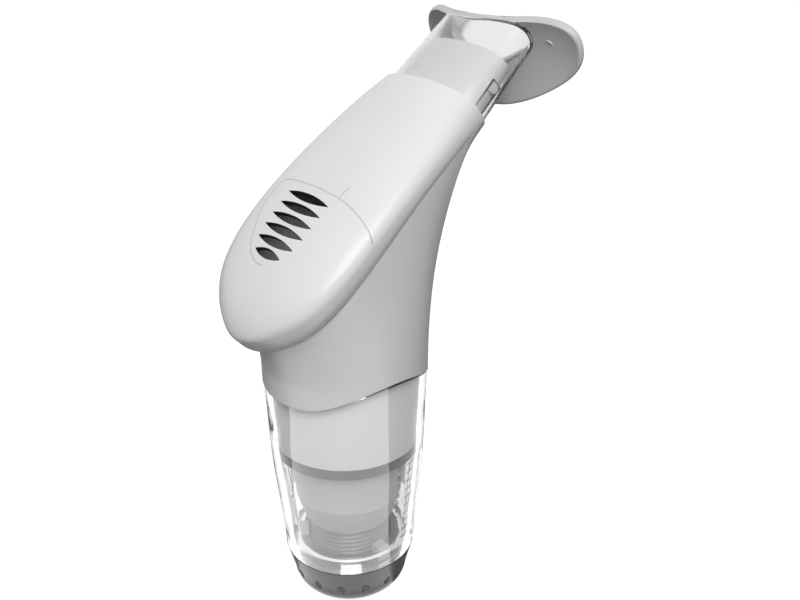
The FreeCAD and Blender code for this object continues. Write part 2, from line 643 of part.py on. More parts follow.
def tension_carriage():
    """Threaded nut that closes the foot of the spring cup."""
    r = CARRIAGE_R
    bore = SPINDLE_R + CARRIAGE_FIT
    return turned([(bore, CARRIAGE_LOW), (CARRIAGE_NECK_R, CARRIAGE_LOW),
                   (r - 1.0, CARRIAGE_SHOULDER - 3.6), (r, CARRIAGE_SHOULDER),
                   (r - CARRIAGE_WALL, CARRIAGE_SHOULDER), (r - CARRIAGE_WALL, CARRIAGE_LEDGE),
                   (bore, CARRIAGE_LEDGE)])


def spring_cup():
    """Wall of the cup round the spring, with the ears that keep it from turning."""
    r = CARRIAGE_R
    wall = ring(r - CARRIAGE_WALL, r, CARRIAGE_SHOULDER, CARRIAGE_TOP)
    ear = Part.makeBox(EAR_R - r + 0.6, EAR_W, EAR_H, V(r - 0.6, -EAR_W / 2, EAR_LOW))
    return wall.fuse([around(ear, angle - 90) for angle in EAR_ANGLES])


def tension_spring():
    low = CARRIAGE_LEDGE + SPRING_WIRE
    high = POPPET_LOW - SPRING_WIRE
    turn = Part.makeHelix((high - low) / SPRING_TURNS, high - low, SPRING_R)
    turn.translate(V(0, 0, low))
    corners = []
    for k in range(SPRING_SIDES + 1):
        t = 2 * math.pi * k / SPRING_SIDES
        corners.append(V(SPRING_R + SPRING_WIRE * math.cos(t), 0, low + SPRING_WIRE * math.sin(t)))
    return Part.Wire(turn.Edges).makePipeShell([Part.makePolygon(corners)], True, True)


def inhale_poppet():
    low, top = POPPET_LOW, POPPET_LOW + POPPET_T
    disc = turned([(0, low - 3.0), (STEM_R + 1.5, low - 3.0), (STEM_R + 3.0, low), (POPPET_R, low),
                   (POPPET_R, top - 0.8), (POPPET_R - 0.8, top), (0, top)])
    return disc.fuse(Part.makeCylinder(STEM_R, low - STEM_LOW, V(0, 0, STEM_LOW)))


def inhale_seal():
    low = POPPET_LOW + POPPET_T
    return Part.makeCylinder(SEAL_R, SEAL_T, V(0, 0, low))


def tube_section(s, half_x, half_n):
    return section_wire(on_axis(s, 0, TUBE_CENTRE).y, on_axis(s, 0, TUBE_CENTRE).z, AXIS_SLOPE, half_x, half_n)


def mouthpiece_bore():
    first, last = SLEEVE_BORES[0], SLEEVE_BORES[-1]
    rows = [(first[0] - 2.0,) + first[1:]] + SLEEVE_BORES + [(last[0] + 12.0,) + last[1:]]
    return Part.makeLoft([tube_section(*row) for row in rows], True)


def shield_station(x, n):
    rise = n - SHIELD_N
    return (SHIELD_S + SHIELD_WRAP * x ** 2 - SHIELD_WING * x ** 4
            + SHIELD_LEAN * rise - SHIELD_DISH * rise ** 2)


def shield_sheet(thickness):
    """The shield's curved face, wider than its outline, given a thickness along the mouth axis."""
    grid = []
    for i in range(-6, 7):
        x = (SHIELD_X + 3) * i / 6
        row = []
        for j in range(9):
            n = SHIELD_N + SHIELD_UP + 3 - (SHIELD_UP + SHIELD_DOWN + 6) * j / 8
            row.append(on_axis(shield_station(x, n), x, n))
        grid.append(row)
    face = Part.BSplineSurface()
    face.interpolate(grid)
    return face.toShape().extrude(AXIS_DIR * thickness)


def mouthpiece_sleeve():
    outside = Part.makeLoft([tube_section(*row) for row in SLEEVE_SECTIONS], True)
    start = SLEEVE_SECTIONS[0][0] - 1
    width = 2 * PEG_R + 0.6
    groove = Part.makeBox(40, PEG_S + width / 2 - start, width, V(-20, start, -width / 2))
    groove.rotate(V(0, 0, 0), V(1, 0, 0), AXIS_SLOPE)
    groove.translate(on_axis(0, 0, TUBE_CENTRE))
    keep = TUBE[-2][3] + PEG_RISE + 0.6
    groove = groove.common(Part.makeBox(2 * keep, FAR, FAR, V(-keep, -FAR / 2, 0)))
    return outside.cut([mouthpiece_bore(), groove, shield_sheet(60)])


def mouthpiece_flange():
    """Dished lip shield with two bite tabs on the mouth side."""
    middle = SHIELD_N + (SHIELD_UP - SHIELD_DOWN) / 2
    half = (SHIELD_UP + SHIELD_DOWN) / 2
    outline = closed_wire(oval_points(-10, SHIELD_X, half, half, middle, SHIELD_POWER, LOOP_POINTS))
    shield = shield_sheet(SHIELD_T).common(Part.Face(outline).extrude(AXIS_DIR * 60))
    tabs = []
    for side in (-1, 1):
        reach = shield_station(TAB_X, TUBE_CENTRE) + SHIELD_T + TAB_REACH
        tab = Part.makeBox(TAB_W, reach, TAB_T)
        tab = tab.makeFillet(TAB_ROUND, [e for e in tab.Edges if e.BoundBox.YMin > reach - 0.01])
        tab.translate(V(side * TAB_X - TAB_W / 2, 0, 0))
        tab.rotate(V(0, 0, 0), V(1, 0, 0), AXIS_SLOPE)
        tab.translate(on_axis(0, 0, TUBE_CENTRE - TAB_T / 2))
        tabs.append(tab.common(shield_sheet(60)))
    return shield.fuse(tabs).cut(mouthpiece_bore())


PARTS = [handle_cover, lower_housing, chamber, spring_sleeve, indicator_band, valve_plate, chamber_gasket, mouth_tube,
         exhale_seat, exhale_flap, exhale_cage, load_knob, snap_lugs, spindle, guide_bush, thrust_ring,
         retaining_screw, foot_pad, tension_carriage, spring_cup, tension_spring, inhale_poppet, inhale_seal,
         mouthpiece_sleeve, mouthpiece_flange]

os.makedirs("parts", exist_ok=True)
for make in PARTS:
    make().exportStep("parts/" + make.__name__ + ".step")
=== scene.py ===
"""Dresses the breathing trainer: finishes, thread, lip shield, load scale, fine lines and studio."""
import math

import bmesh
import bpy
import numpy as np
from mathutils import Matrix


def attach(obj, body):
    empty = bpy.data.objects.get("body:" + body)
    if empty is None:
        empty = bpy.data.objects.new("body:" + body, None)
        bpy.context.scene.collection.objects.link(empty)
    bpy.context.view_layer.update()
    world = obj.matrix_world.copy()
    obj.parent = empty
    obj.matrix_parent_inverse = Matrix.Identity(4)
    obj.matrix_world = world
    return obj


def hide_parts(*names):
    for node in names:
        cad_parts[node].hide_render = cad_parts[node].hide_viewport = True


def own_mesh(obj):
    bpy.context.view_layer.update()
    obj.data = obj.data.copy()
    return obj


bl_info = {
    "name": "Breathing trainer",
    "version": (1, 0, 0),
    "blender": (4, 5, 0),
    "location": "View3D > Sidebar > Trainer",
    "description": "Dresses the trainer's solids with its finishes, fine pieces and studio",
    "category": "Object",
}

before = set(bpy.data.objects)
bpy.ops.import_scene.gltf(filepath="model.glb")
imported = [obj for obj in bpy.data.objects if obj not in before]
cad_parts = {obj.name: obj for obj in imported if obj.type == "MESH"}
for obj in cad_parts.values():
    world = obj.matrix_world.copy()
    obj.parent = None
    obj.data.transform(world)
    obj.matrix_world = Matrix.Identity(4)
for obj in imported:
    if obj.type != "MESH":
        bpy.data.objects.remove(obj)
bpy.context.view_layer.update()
MM = 0.001

# Mouth axis: a point on it and its slope
AXIS_Y, AXIS_Z = 36.65 * MM, 145.5 * MM
AXIS_SLOPE = math.radians(41.0)
AXIS_ALONG = np.array([0.0, math.cos(AXIS_SLOPE), math.sin(AXIS_SLOPE)])
AXIS_ABOVE = np.array([0.0, -math.sin(AXIS_SLOPE), math.cos(AXIS_SLOPE)])

# Head sections: station, half width, rise over the widest line, height of the widest line, in mm
HEAD_ROWS = np.array([
    (-7.8, 18.0, 9.5, -0.3), (-15.0, 19.5, 8.95, 1.25), (-25.0, 21.19, 8.19, 2.95),
    (-35.0, 22.33, 7.75, 4.16), (-45.0, 23.14, 7.48, 4.95), (-55.0, 23.39, 7.28, 5.33),
    (-65.0, 22.69, 6.95, 5.28), (-72.0, 21.04, 6.45, 5.0), (-78.0, 17.97, 5.64, 4.6)])[::-1]
HEAD_POWER = 2.4
# Inner wall of the clear chamber: height and radius, in mm
WALL_ROWS = np.array([(17.6, 17.2), (27.0, 18.0), (34.0, 18.7), (41.0, 19.4), (48.0, 19.85)])

GREY = (0.5, 0.5, 0.5, 1.0)


def grey(level, name, description):
    """A colour property of one grey level."""
    return bpy.props.FloatVectorProperty(name=name, description=description, subtype="COLOR", size=4,
                                         min=0.0, max=1.0, default=(level, level, level * 1.01, 1.0))


def length(value, name, description):
    """A length property, in metres."""
    return bpy.props.FloatProperty(name=name, description=description, default=value * MM, min=0.0,
                                   precision=5, unit="LENGTH", subtype="DISTANCE")


class TrainerSizes(bpy.types.PropertyGroup):
    shield_half_width: length(29.0, "Shield half width", "Half the width of the lip shield")
    shield_rise: length(7.9, "Shield rise", "Top edge of the shield over its middle line")
    shield_drop: length(15.6, "Shield drop", "Bottom edge of the shield under its middle line")
    shield_thickness: length(2.1, "Shield thickness", "Thickness of the lip shield")
    tab_width: length(8.0, "Bite tab width", "Width of one bite tab")
    tab_thickness: length(2.8, "Bite tab thickness", "Thickness of one bite tab")
    tab_reach: length(6.0, "Bite tab reach", "How far a bite tab stands out of the shield")
    thread_radius: length(11.8, "Thread radius", "Radius over the spindle's ridges")
    thread_depth: length(0.55, "Thread depth", "Depth of the groove between two ridges")
    ridge_pitch: length(1.45, "Ridge pitch", "Height from one ridge to the next")
    tick_height: length(0.34, "Tick height", "Height of one line of the load scale")
    level_step: length(2.9, "Level step", "Height from one load level to the next")
    digit_height: length(1.9, "Digit height", "Height of the load scale's digits")
    line_width: length(0.24, "Line width", "Width of the fine lines on the cover")


class TrainerColours(bpy.types.PropertyGroup):
    cover: grey(0.81, "Cover", "White of the head cover")
    housing: grey(0.77, "Housing", "Light grey of the lower housing")
    sleeve: grey(0.93, "Sleeve", "White of the spring sleeve")
    band: grey(0.045, "Band", "Dark grey of the indicator band")
    cup: grey(0.58, "Cup", "Light grey of the spring cup")
    spindle: grey(0.17, "Spindle", "Grey of the ribbed spindle")
    knob: grey(0.075, "Knob", "Dark grey of the load knob")
    inner: grey(0.95, "Inner parts", "White of the tube and valve parts")
    seal: grey(0.1, "Seals", "Black of the rubber seals")
    flap: grey(0.6, "Exhale flap", "Milky grey of the exhale flap")
    shield: grey(0.6, "Shield", "Grey of the lip shield")
    steel: grey(0.6, "Steel", "Steel of the screw and spring")
    lug: grey(0.4, "Hooks", "Grey of the hooks that hold the knob")
    # Near black painted shade for the inside of the vents
    vent: grey(0.012, "Vents", "Near black inside the vents")
    marks: grey(0.12, "Marks", "Grey of the printed load scale")
    lines: grey(0.5, "Fine lines", "Shade in the cover's fine lines")


def sizes():
    """The trainer's sizes in the scene."""
    return bpy.context.scene.trainer_sizes


def colours():
    """The trainer's colours in the scene."""
    return bpy.context.scene.trainer_colours


# Mesh helpers

NODE_WELD = 2e-6             # distance under which a solid's own vertices merge, m
TUBE_WELD = 1e-6             # the same for surfaces that close to a point
RUBBER_SHARP, FINE_SHARP = 60.0, 50.0        # angles over which an edge stays sharp, degrees


def on_axis(s, x, n):
    """Point at station s on the mouth axis, x to the side, n above it; arrays of any one shape."""
    s, x, n = np.broadcast_arrays(np.asarray(s, float), x, n)
    side = np.stack([x, np.zeros_like(x), np.zeros_like(x)], -1)
    return np.array([0.0, AXIS_Y, AXIS_Z]) + s[..., None] * AXIS_ALONG + n[..., None] * AXIS_ABOVE + side


def signed_power(value, power):
    """Power of the size of a value, with the value's sign."""
    return np.sign(value) * np.abs(value) ** power


def add_piece(name, mesh, body, slot, material, *replaced):
    """Links a finished mesh as a piece of the trainer that rides on a body."""
    mesh.materials.clear()
    mesh.materials.append(material)
    piece = bpy.data.objects.new(name, mesh)
    bpy.context.collection.objects.link(piece)
    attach(piece, body)
    if replaced:
        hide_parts(*replaced)
    return piece


def grid_mesh(name, points, close_rows=False, close_columns=False):
    """Mesh of quads through a grid of points, rows by columns; a closed direction wraps round."""
    rows, columns = points.shape[:2]
    a, b = np.meshgrid(np.arange(rows if close_rows else rows - 1),
                       np.arange(columns if close_columns else columns - 1), indexing="ij")
    a2, b2 = (a + 1) % rows, (b + 1) % columns
    quads = np.stack([a * columns + b, a2 * columns + b, a2 * columns + b2, a * columns + b2], -1)
    mesh = bpy.data.meshes.new(name)
    mesh.from_pydata(points.reshape(-1, 3).tolist(), [], quads.reshape(-1, 4).tolist())
    mesh.update()
    return mesh


def face_outwards(mesh, weld=1e-7):
    """Merges doubles, drops faces without area, and turns the faces outwards."""
    work = bmesh.new()
    work.from_mesh(mesh)
    bmesh.ops.remove_doubles(work, verts=work.verts, dist=weld)
    bmesh.ops.dissolve_degenerate(work, edges=work.edges, dist=weld)
    bmesh.ops.recalc_face_normals(work, faces=work.faces)
    work.to_mesh(mesh)
    work.free()
    return mesh


def close_ends(mesh):
    """Closes every open end of a tube with one face."""
    work = bmesh.new()
    work.from_mesh(mesh)
    bmesh.ops.holes_fill(work, edges=[e for e in work.edges if e.is_boundary], sides=0)
    work.to_mesh(mesh)
    work.free()
    return mesh


def smooth(mesh, sharp_over):
    """Smooth shading with edges kept sharp over an angle in degrees."""
    mesh.polygons.foreach_set("use_smooth", np.ones(len(mesh.polygons), bool))
    mesh.set_sharp_from_angle(angle=math.radians(sharp_over))
    mesh.update()
    return mesh


def merged_node(node, sharp_over):
    """A solid's own mesh with its doubles merged, so that it can be shaded smooth."""
    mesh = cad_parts[node].data.copy()
    if "custom_normal" in mesh.attributes:
        mesh.attributes.remove(mesh.attributes["custom_normal"])
    work = bmesh.new()
    work.from_mesh(mesh)
    bmesh.ops.remove_doubles(work, verts=work.verts, dist=NODE_WELD)
    work.to_mesh(mesh)
    work.free()
    return smooth(mesh, sharp_over)


# Material helpers

MOULDED_IOR, MOULDED_COAT_ROUGHNESS = 1.46, 0.15
BROAD_SCALE = 60.0           # broad mottle of moulded plastic, per metre
FLOW_SCALE = 90.0            # flow ripples of clear plastic, per metre
CLEAR_COAT_IOR = 1.75
WALL_PASS = 0.93             # share of light that passes a clear wall for lamps and bounces
WIRE_STREAK = (900.0, 900.0, 60.0)
WIRE_ROUGHNESS = (0.22, 0.4)


def new_material(name):
    """New material with its tree and shader; a solid's plain material gives up the name."""
    plain = bpy.data.materials.get(name)
    if plain is not None:
        plain.name = name + ".solid"
    material = bpy.data.materials.new(name)
    material.use_nodes = True
    return material, material.node_tree, material.node_tree.nodes["Principled BSDF"]


def math_node(tree, operation, *values):
    """Math node whose second and later inputs have the given values."""
    node = tree.nodes.new("ShaderNodeMath")
    node.operation = operation
    for place, value in enumerate(values, 1):
        node.inputs[place].default_value = value
    return node


def noise_node(tree, scale, detail):
    """Noise over the object's own coordinates."""
    place = tree.nodes.new("ShaderNodeTexCoord")
    noise = tree.nodes.new("ShaderNodeTexNoise")
    noise.inputs["Scale"].default_value = scale
    noise.inputs["Detail"].default_value = detail
    tree.links.new(place.outputs["Object"], noise.inputs["Vector"])
    return noise


def grain_group():
    """Moulded grain: a fine noise for the surface and a broad one that shifts tone and gloss a little."""
    name = "moulded_grain"
    if name in bpy.data.node_groups:
        return bpy.data.node_groups[name]
    group = bpy.data.node_groups.new(name, "ShaderNodeTree")
    for label, kind, default in (("Colour", "NodeSocketColor", GREY), ("Roughness", "NodeSocketFloat", 0.4),
                                 ("Grain", "NodeSocketFloat", 1500.0), ("Mottle", "NodeSocketFloat", 0.04)):
        group.interface.new_socket(label, in_out="INPUT", socket_type=kind).default_value = default
    for label, kind in (("Colour", "NodeSocketColor"), ("Roughness", "NodeSocketFloat"),
                        ("Height", "NodeSocketFloat")):
        group.interface.new_socket(label, in_out="OUTPUT", socket_type=kind)
    nodes, links = group.nodes, group.links
    inputs, outputs = nodes.new("NodeGroupInput"), nodes.new("NodeGroupOutput")
    fine = noise_node(group, 1.0, 3.0)
    broad = noise_node(group, BROAD_SCALE, 2.0)
    links.new(inputs.outputs["Grain"], fine.inputs["Scale"])
    centred = math_node(group, "SUBTRACT", 0.5)
    links.new(broad.outputs["Fac"], centred.inputs[0])
    shift = math_node(group, "MULTIPLY")
    links.new(centred.outputs[0], shift.inputs[0])
    links.new(inputs.outputs["Mottle"], shift.inputs[1])
    bright = math_node(group, "ADD", 1.0)
    links.new(shift.outputs[0], bright.inputs[0])
    tint = nodes.new("ShaderNodeVectorMath")
    tint.operation = "SCALE"
    links.new(inputs.outputs["Colour"], tint.inputs[0])
    links.new(bright.outputs[0], tint.inputs["Scale"])
    links.new(tint.outputs[0], outputs.inputs["Colour"])
    gloss = math_node(group, "ADD")
    gloss.use_clamp = True
    links.new(inputs.outputs["Roughness"], gloss.inputs[0])
    links.new(shift.outputs[0], gloss.inputs[1])
    links.new(gloss.outputs[0], outputs.inputs["Roughness"])
    links.new(fine.outputs["Fac"], outputs.inputs["Height"])
    return group


def moulded(name, colour, roughness, grain=1500.0, depth=0.006, mottle=0.04, coat=0.0):
    """Moulded plastic or rubber: grain from the shared group, its depth in millimetres."""
    material, tree, shader = new_material(name)
    group = tree.nodes.new("ShaderNodeGroup")
    group.node_tree = grain_group()
    group.inputs["Colour"].default_value = colour
    group.inputs["Roughness"].default_value = roughness
    group.inputs["Grain"].default_value = grain
    group.inputs["Mottle"].default_value = mottle
    bump = tree.nodes.new("ShaderNodeBump")
    bump.inputs["Distance"].default_value = depth * MM
    tree.links.new(group.outputs["Height"], bump.inputs["Height"])
    tree.links.new(group.outputs["Colour"], shader.inputs["Base Color"])
    tree.links.new(group.outputs["Roughness"], shader.inputs["Roughness"])
    tree.links.new(bump.outputs["Normal"], shader.inputs["Normal"])
    shader.inputs["IOR"].default_value = MOULDED_IOR
    shader.inputs["Coat Weight"].default_value = coat
    shader.inputs["Coat Roughness"].default_value = MOULDED_COAT_ROUGHNESS
    return material


def let_light_in(tree, shader):
    """Lets lamps and bounced light straight through a clear wall, which would cast black shade."""
    path = tree.nodes.new("ShaderNodeLightPath")
    either = math_node(tree, "MAXIMUM")
    open_air = tree.nodes.new("ShaderNodeBsdfTransparent")
    open_air.inputs["Color"].default_value = (WALL_PASS, WALL_PASS, WALL_PASS, 1.0)
    mix = tree.nodes.new("ShaderNodeMixShader")
    tree.links.new(path.outputs["Is Shadow Ray"], either.inputs[0])
    tree.links.new(path.outputs["Is Diffuse Ray"], either.inputs[1])
    tree.links.new(either.outputs[0], mix.inputs["Fac"])
    tree.links.new(shader.outputs["BSDF"], mix.inputs[1])
    tree.links.new(open_air.outputs["BSDF"], mix.inputs[2])
    tree.links.new(mix.outputs["Shader"], tree.nodes["Material Output"].inputs["Surface"])


def clear_plastic(name, colour, roughness, ior, ripple, gloss):
    """Clear moulded plastic with faint flow ripples, their depth in millimetres."""
    material, tree, shader = new_material(name)
    flow = noise_node(tree, FLOW_SCALE, 1.0)
    bump = tree.nodes.new("ShaderNodeBump")
    bump.inputs["Distance"].default_value = ripple * MM
    tree.links.new(flow.outputs["Fac"], bump.inputs["Height"])
    tree.links.new(bump.outputs["Normal"], shader.inputs["Normal"])
    shader.inputs["Base Color"].default_value = colour
    shader.inputs["Roughness"].default_value = roughness
    shader.inputs["IOR"].default_value = ior
    shader.inputs["Transmission Weight"].default_value = 1.0
    shader.inputs["Coat Weight"].default_value = gloss
    shader.inputs["Coat Roughness"].default_value = 0.0
    shader.inputs["Coat IOR"].default_value = CLEAR_COAT_IOR
    let_light_in(tree, shader)
    return material


def drawn_steel(name, colour):
    """Bright drawn wire: metal with a fine streak along Z in its gloss."""
    material, tree, shader = new_material(name)
    place = tree.nodes.new("ShaderNodeTexCoord")
    stretch = tree.nodes.new("ShaderNodeMapping")
    stretch.inputs["Scale"].default_value = WIRE_STREAK
    streak = tree.nodes.new("ShaderNodeTexNoise")
    streak.inputs["Scale"].default_value = 1.0
    spread = tree.nodes.new("ShaderNodeMapRange")
    spread.inputs["To Min"].default_value, spread.inputs["To Max"].default_value = WIRE_ROUGHNESS
    tree.links.new(place.outputs["Object"], stretch.inputs["Vector"])
    tree.links.new(stretch.outputs["Vector"], streak.inputs["Vector"])
    tree.links.new(streak.outputs["Fac"], spread.inputs["Value"])
    tree.links.new(spread.outputs["Result"], shader.inputs["Roughness"])
    shader.inputs["Base Color"].default_value = colour
    shader.inputs["Metallic"].default_value = 1.0
    return material


# Moulded finishes: colour, roughness, and where they differ grain, its depth in mm, mottle and coat
MOULDED = {
    "cover_white": ("cover", 0.38, 1500.0, 0.006, 0.04, 0.15),
    "housing_grey": ("housing", 0.4, 1500.0, 0.006, 0.04, 0.1),
    "sleeve_white": ("sleeve", 0.42),
    "band_grey": ("band", 0.42),
    "inner_white": ("inner", 0.4),
    "seal_rubber": ("seal", 0.6, 900.0, 0.01),
    "flap_silicone": ("flap", 0.35, 900.0, 0.004),
    "knob_grey": ("knob", 0.36, 1200.0, 0.01, 0.06),
    "spindle_grey": ("spindle", 0.32),
    "ring_acetal": ("inner", 0.3),
    "pad_rubber": ("seal", 0.7, 800.0, 0.015),
    "carriage_grey": ("cup", 0.4),
    "shield_grey": ("shield", 0.34, 700.0, 0.008, 0.05, 0.1),
    "lug_grey": ("lug", 0.4),
    "vent_dark": ("vent", 0.7),
    "scale_marks": ("marks", 0.5),
    "fine_lines": ("lines", 0.6),
}
# Clear finishes: colour, roughness, index of refraction, depth of the ripples in mm, coat
CLEAR = {
    "clear_plastic": ((0.985, 0.988, 0.99, 1.0), 0.015, 1.49, 0.004, 0.5),
    "mouthpiece_clear": ((0.82, 0.825, 0.83, 1.0), 0.12, 1.45, 0.01, 0.0),
}
STEEL = ("screw_steel", "spring_steel")


def finishes():
    """Every finish of the trainer by its name, made at the first call and marked to be found again."""
    made = {m["trainer_finish"]: m for m in bpy.data.materials if "trainer_finish" in m}
    if made:
        return made
    tone = colours()
    for name, (colour, *look) in MOULDED.items():
        made[name] = moulded(name, getattr(tone, colour), *look)
    for name, look in CLEAR.items():
        made[name] = clear_plastic(name, *look)
    for name in STEEL:
        made[name] = drawn_steel(name, tone.steel)
    for name, material in made.items():
        material["trainer_finish"] = name
    return made


# Pieces

# Faces painted near black as shade in and round the vents: stations, half width and the most that they face
# up, as a share of the normal
VENT_ZONE, VENT_HALF, VENT_FACING = (-74.0, -46.0), 13.0, 0.45


def darken_vents(mesh, dark):
    """Gives the walls of the vents and the cover's inside round them a near black colour: painted shade of
    the dark slots.
    """
    count = len(mesh.polygons)
    centre, normal = np.empty(count * 3), np.empty(count * 3)
    mesh.polygons.foreach_get("center", centre)
    mesh.polygons.foreach_get("normal", normal)
    rel = centre.reshape(-1, 3) - np.array([0.0, AXIS_Y, AXIS_Z])
    s, x = rel @ AXIS_ALONG / MM, np.abs(rel[:, 0]) / MM
    inside = (s > VENT_ZONE[0]) & (s < VENT_ZONE[1]) & (x < VENT_HALF)
    walls = inside & (normal.reshape(-1, 3) @ AXIS_ABOVE < VENT_FACING)
    mesh.materials.append(dark)
    mesh.polygons.foreach_set("material_index", walls.astype(np.int32))


# Solids whose own mesh is shown, merged and smooth: node, new name, body, slot, sharp angle
SMOOTH_NODES = [
    ("handle_cover", "cover_shell", "cover", "cover_white", 30.0),
    ("lower_housing", "housing_shell", "housing", "housing_grey", 30.0),
    ("chamber", "clear_chamber", "housing", "clear_plastic", 30.0),
    ("spring_sleeve", "white_sleeve", "housing", "sleeve_white", 30.0),
    ("indicator_band", "dark_band", "housing", "band_grey", 30.0),
    ("mouth_tube", "oval_tube", "housing", "inner_white", 30.0),
    ("load_knob", "knob_body", "knob", "knob_grey", 30.0),
    ("snap_lugs", "knob_hooks", "knob", "inner_white", 30.0),
    ("tension_carriage", "cup_foot", "carriage", "carriage_grey", 30.0),
    ("spring_cup", "cup_wall", "carriage", "carriage_grey", 30.0),
    ("mouthpiece_sleeve", "clear_sleeve", "mouthpiece", "mouthpiece_clear", 30.0),
    ("tension_spring", "coil_spring", "carriage", "spring_steel", 50.0),
]
# Solids whose look has a finish of its own
LOOKS = {"snap_lugs": "lug_grey"}
# Solids that are seen little or not at all and keep their own mesh, with their slot
PLAIN_NODES = {
    "valve_plate": "inner_white", "chamber_gasket": "seal_rubber", "exhale_seat": "seal_rubber",
    "exhale_flap": "flap_silicone", "exhale_cage": "inner_white", "guide_bush": "inner_white",
    "thrust_ring": "ring_acetal", "retaining_screw": "screw_steel", "foot_pad": "pad_rubber",
    "inhale_poppet": "inner_white", "inhale_seal": "seal_rubber",
}

# The shield's inner face: s = place + wrap x^2 - wing x^4 + lean r - dish r^2, r over the middle line, mm
SHIELD_PLACE, SHIELD_MIDDLE = 14.2, -1.56
SHIELD_WRAP, SHIELD_WING = 0.0149, 0.0000094
SHIELD_LEAN, SHIELD_DISH = 0.246, 0.0198
SHIELD_POWER = 2.3
HOLE_X, HOLE_N, HOLE_CENTRE, HOLE_POWER = 14.5, 6.5, -0.85, 2.2
HOLE_ROUND = 0.4             # rounding at the hole's edge
LEAST_REACH = 0.2            # way from hole to rim that a section keeps
SHIELD_AROUND, SHIELD_ACROSS, SHIELD_EDGE = 180, 30, 11     # points round it, across it and over an edge
# Bite tabs: place, where the tip starts to close as a share of the length, how, and the section's powers
TAB_X, TAB_N = 17.0, -3.5
TAB_SUNK = 1.0
TIP_START, TIP_POWER = 0.72, 2.4
TAB_POWERS = (0.55, 0.7)
TAB_AROUND, TAB_ALONG = 40, 26


def shield_station(x, n):
    """Station of the shield's inner face, in mm: a wrap with x squared, flattened wings, lean and dish."""
    rise = n - SHIELD_MIDDLE
    return (SHIELD_PLACE + SHIELD_WRAP * x ** 2 - SHIELD_WING * x ** 4
            + SHIELD_LEAN * rise - SHIELD_DISH * rise ** 2)


def shield_mesh():
    """Closed ring surface: across it, a flat wall with half-round edges at the hole and the rim;
    around it, the way from the hole's oval to the outer oval is mixed at every angle."""
    size = sizes()
    t = np.linspace(0, 2 * np.pi, SHIELD_AROUND, endpoint=False)[None, :]
    half = (size.shield_rise + size.shield_drop) / 2 / MM
    middle = SHIELD_MIDDLE + (size.shield_rise - size.shield_drop) / 2 / MM
    wall = size.shield_thickness / MM
    rim = wall / 2
    outer_x = (size.shield_half_width / MM - rim) * signed_power(np.cos(t), 2 / SHIELD_POWER)
    outer_n = middle + (half - rim) * signed_power(np.sin(t), 2 / SHIELD_POWER)
    hole_x = (HOLE_X + HOLE_ROUND) * signed_power(np.cos(t), 2 / HOLE_POWER)
    hole_n = HOLE_CENTRE + (HOLE_N + HOLE_ROUND) * signed_power(np.sin(t), 2 / HOLE_POWER)
    reach = np.maximum(np.hypot(outer_x - hole_x, outer_n - hole_n), LEAST_REACH)
    across = np.linspace(0, 1, SHIELD_ACROSS)[:, None]
    turn = np.linspace(0, np.pi, SHIELD_EDGE + 2)[1:-1, None]
    # Share of the way from hole to rim, and depth through the wall, along the section
    share = np.concatenate([across + 0 * t, 1 + rim * np.sin(turn) / reach, across[::-1] + 0 * t,
                            -np.minimum(rim * np.sin(turn), HOLE_ROUND) / reach])
    depth = np.concatenate([across * 0, rim - rim * np.cos(turn), across * 0 + wall,
                            rim + rim * np.cos(turn)]) + 0 * t
    x = hole_x + (outer_x - hole_x) * share
    n = hole_n + (outer_n - hole_n) * share
    points = on_axis((shield_station(x, n) + depth) * MM, x * MM, n * MM)
    return smooth(face_outwards(grid_mesh("lip_shield", points, True, True)), RUBBER_SHARP)


def tab_mesh(name, side):
    """Bite tab: a rounded slab drawn out along the mouth axis, its end closing like a fingertip."""
    size = sizes()
    t = np.linspace(0, 2 * np.pi, TAB_AROUND, endpoint=False)[None, :]
    v = np.linspace(0, 1, TAB_ALONG)[:, None]
    swell = (1 - np.clip((v - TIP_START) / (1 - TIP_START), 0, 1) ** TIP_POWER) ** 0.5
    x = side * TAB_X + size.tab_width / 2 / MM * signed_power(np.cos(t), TAB_POWERS[0]) * swell
    n = TAB_N + size.tab_thickness / 2 / MM * signed_power(np.sin(t), TAB_POWERS[1]) * swell
    root = shield_station(TAB_X, TAB_N) + TAB_SUNK
    s = root + (size.tab_reach / MM + TAB_SUNK) * v + 0 * t
    points = on_axis(s * MM, x * MM, n * MM)
    return smooth(face_outwards(close_ends(grid_mesh(name, points, False, True)), TUBE_WELD), RUBBER_SHARP)


# Spindle, mm: spigot, body with ridges, chamfered top and bore
SPIGOT_R, SPIGOT_LOW = 6.0, 6.0
SPINDLE_LOW, SPINDLE_HIGH = 12.6, 57.0
FOOT_R, FOOT_HIGH = 11.2, 13.4
RIDGES_LOW, RIDGES_HIGH = 13.8, 56.2
TOP_R, BORE_R, BORE_FLOOR = 11.0, 8.2, 17.6
GROOVE_POWER = 1.6           # over one, the ridges are wider than the grooves
THREAD_AROUND, THREAD_ALONG = 120, 430


